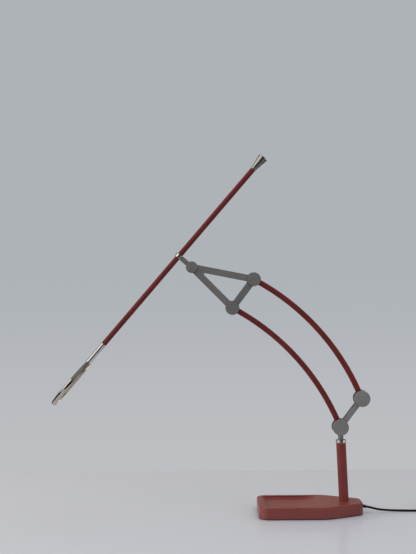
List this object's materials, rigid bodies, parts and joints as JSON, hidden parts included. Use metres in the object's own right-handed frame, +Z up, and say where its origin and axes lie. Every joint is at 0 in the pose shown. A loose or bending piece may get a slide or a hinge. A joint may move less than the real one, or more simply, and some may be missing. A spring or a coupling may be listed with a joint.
{
  "type": "architect lamp",
  "caption": "Desk lamp with a tray base, arched parallelogram arms, an open triangle frame and a long tilting rod that carries a ring-shaped LED head.",
  "frame": {"origin": "on the desk, where the post's axis meets it, on the underside of the base pad", "axes": "+Z up from the desk, +X along the base towards the cord end, the arms move in the XZ plane at rest and the ring head is at -X"},
  "size_m": [0.8578, 0.124, 0.6791],
  "materials": {
    "red_paint": "satin brick red paint",
    "red_casting": "iron casting in matte brick red paint",
    "grey_paint": "matte grey paint",
    "chrome": "polished chrome",
    "steel": "zinc plated steel",
    "nylon": "natural nylon",
    "pad_rubber": "black rubber",
    "cord_rubber": "black cord sheath",
    "black_plastic": "moulded black plastic",
    "brass": "nickel plated brass pins",
    "board_white": "white solder mask on an aluminium board",
    "board_green": "green circuit board",
    "driver_parts": "wound and moulded components",
    "led": "LED phosphor",
    "opal": "opal diffuser"
  },
  "bodies": {
    "base": {"base_casting": "red_casting", "base_pad": "pad_rubber", "base_plate": "steel", "plate_screws": "steel", "driver_board": "board_green", "driver_parts": "driver_parts", "post": "red_paint", "post_plug": "steel", "post_screw": "steel", "post_ring": "chrome", "swivel_bush": "nylon", "cord_gland": "black_plastic", "mains_cord": "cord_rubber", "cord_coil": "cord_rubber", "cord_tail": "cord_rubber", "coil_tie": "black_plastic", "plug_body": "black_plastic", "plug_pins": "brass"},
    "bracket": {"bracket_stem": "grey_paint", "swivel_clip": "steel", "stem_rivets": "steel", "bracket_front_cheek": "grey_paint", "bracket_rear_cheek": "grey_paint", "bracket_bolts": "steel", "bracket_nuts": "steel", "bracket_washers": "nylon", "bracket_caps": "grey_paint"},
    "front_arm": {"front_arm": "red_paint", "front_arm_bushes": "nylon", "front_arm_lead": "cord_rubber"},
    "rear_arm": {"rear_arm": "red_paint", "rear_arm_bushes": "nylon"},
    "triangle": {"triangle_front_plate": "grey_paint", "triangle_rear_plate": "grey_paint", "triangle_bolts": "steel", "triangle_nuts": "steel", "triangle_washers": "nylon", "triangle_caps": "grey_paint"},
    "head_link": {"head_link": "grey_paint", "head_link_bush": "nylon", "rod_collar": "chrome", "collar_bush": "nylon"},
    "rod": {"rod": "red_paint", "rod_lead": "cord_rubber", "rod_cone": "chrome", "switch_body": "black_plastic", "chrome_neck": "chrome", "ring_housing": "chrome", "led_board": "board_white", "led_chips": "led", "diffuser": "opal"},
    "button": {"switch_button": "black_plastic"}
  },
  "joints": [
    {"name": "arm_swivel", "type": "hinge", "parent": "base", "child": "bracket", "pos_m": [0, 0, 0], "axis": [-0.0436, 0, 0.999], "range_deg": [-160, 160]},
    {"name": "arm_raise", "type": "hinge", "parent": "bracket", "child": "front_arm", "pos_m": [-0.00709, 0, 0.1625], "axis": [0, 1, 0], "range_deg": [-20, 35]},
    {"name": "rear_arm_pivot", "type": "hinge", "parent": "bracket", "child": "rear_arm", "pos_m": [0.03372, 0, 0.21626], "axis": [0, 1, 0], "range_deg": [-20, 35]},
    {"name": "triangle_pivot", "type": "hinge", "parent": "front_arm", "child": "triangle", "pos_m": [-0.20972, 0, 0.38912], "axis": [0, 1, 0], "range_deg": [-35, 20]},
    {"name": "head_tilt", "type": "hinge", "parent": "triangle", "child": "head_link", "pos_m": [-0.28597, 0, 0.46645], "axis": [0, 1, 0], "range_deg": [-40, 40]},
    {"name": "rod_turn", "type": "hinge", "parent": "head_link", "child": "rod", "pos_m": [-0.31024, 0, 0.48746], "axis": [0.6545, 0, 0.7561], "range_deg": [-90, 90]},
    {"name": "switch_press", "type": "slide", "parent": "rod", "child": "button", "axis": [-0.6545, 0, -0.7561], "range_m": [0, 0.001], "stiffness_N_per_m": 800, "springref_m": -0.001}
  ],
  "couplings": [
    {"joint": "rear_arm_pivot", "follows": "arm_raise", "ratio": 1},
    {"joint": "triangle_pivot", "follows": "arm_raise", "ratio": -1}
  ]
}
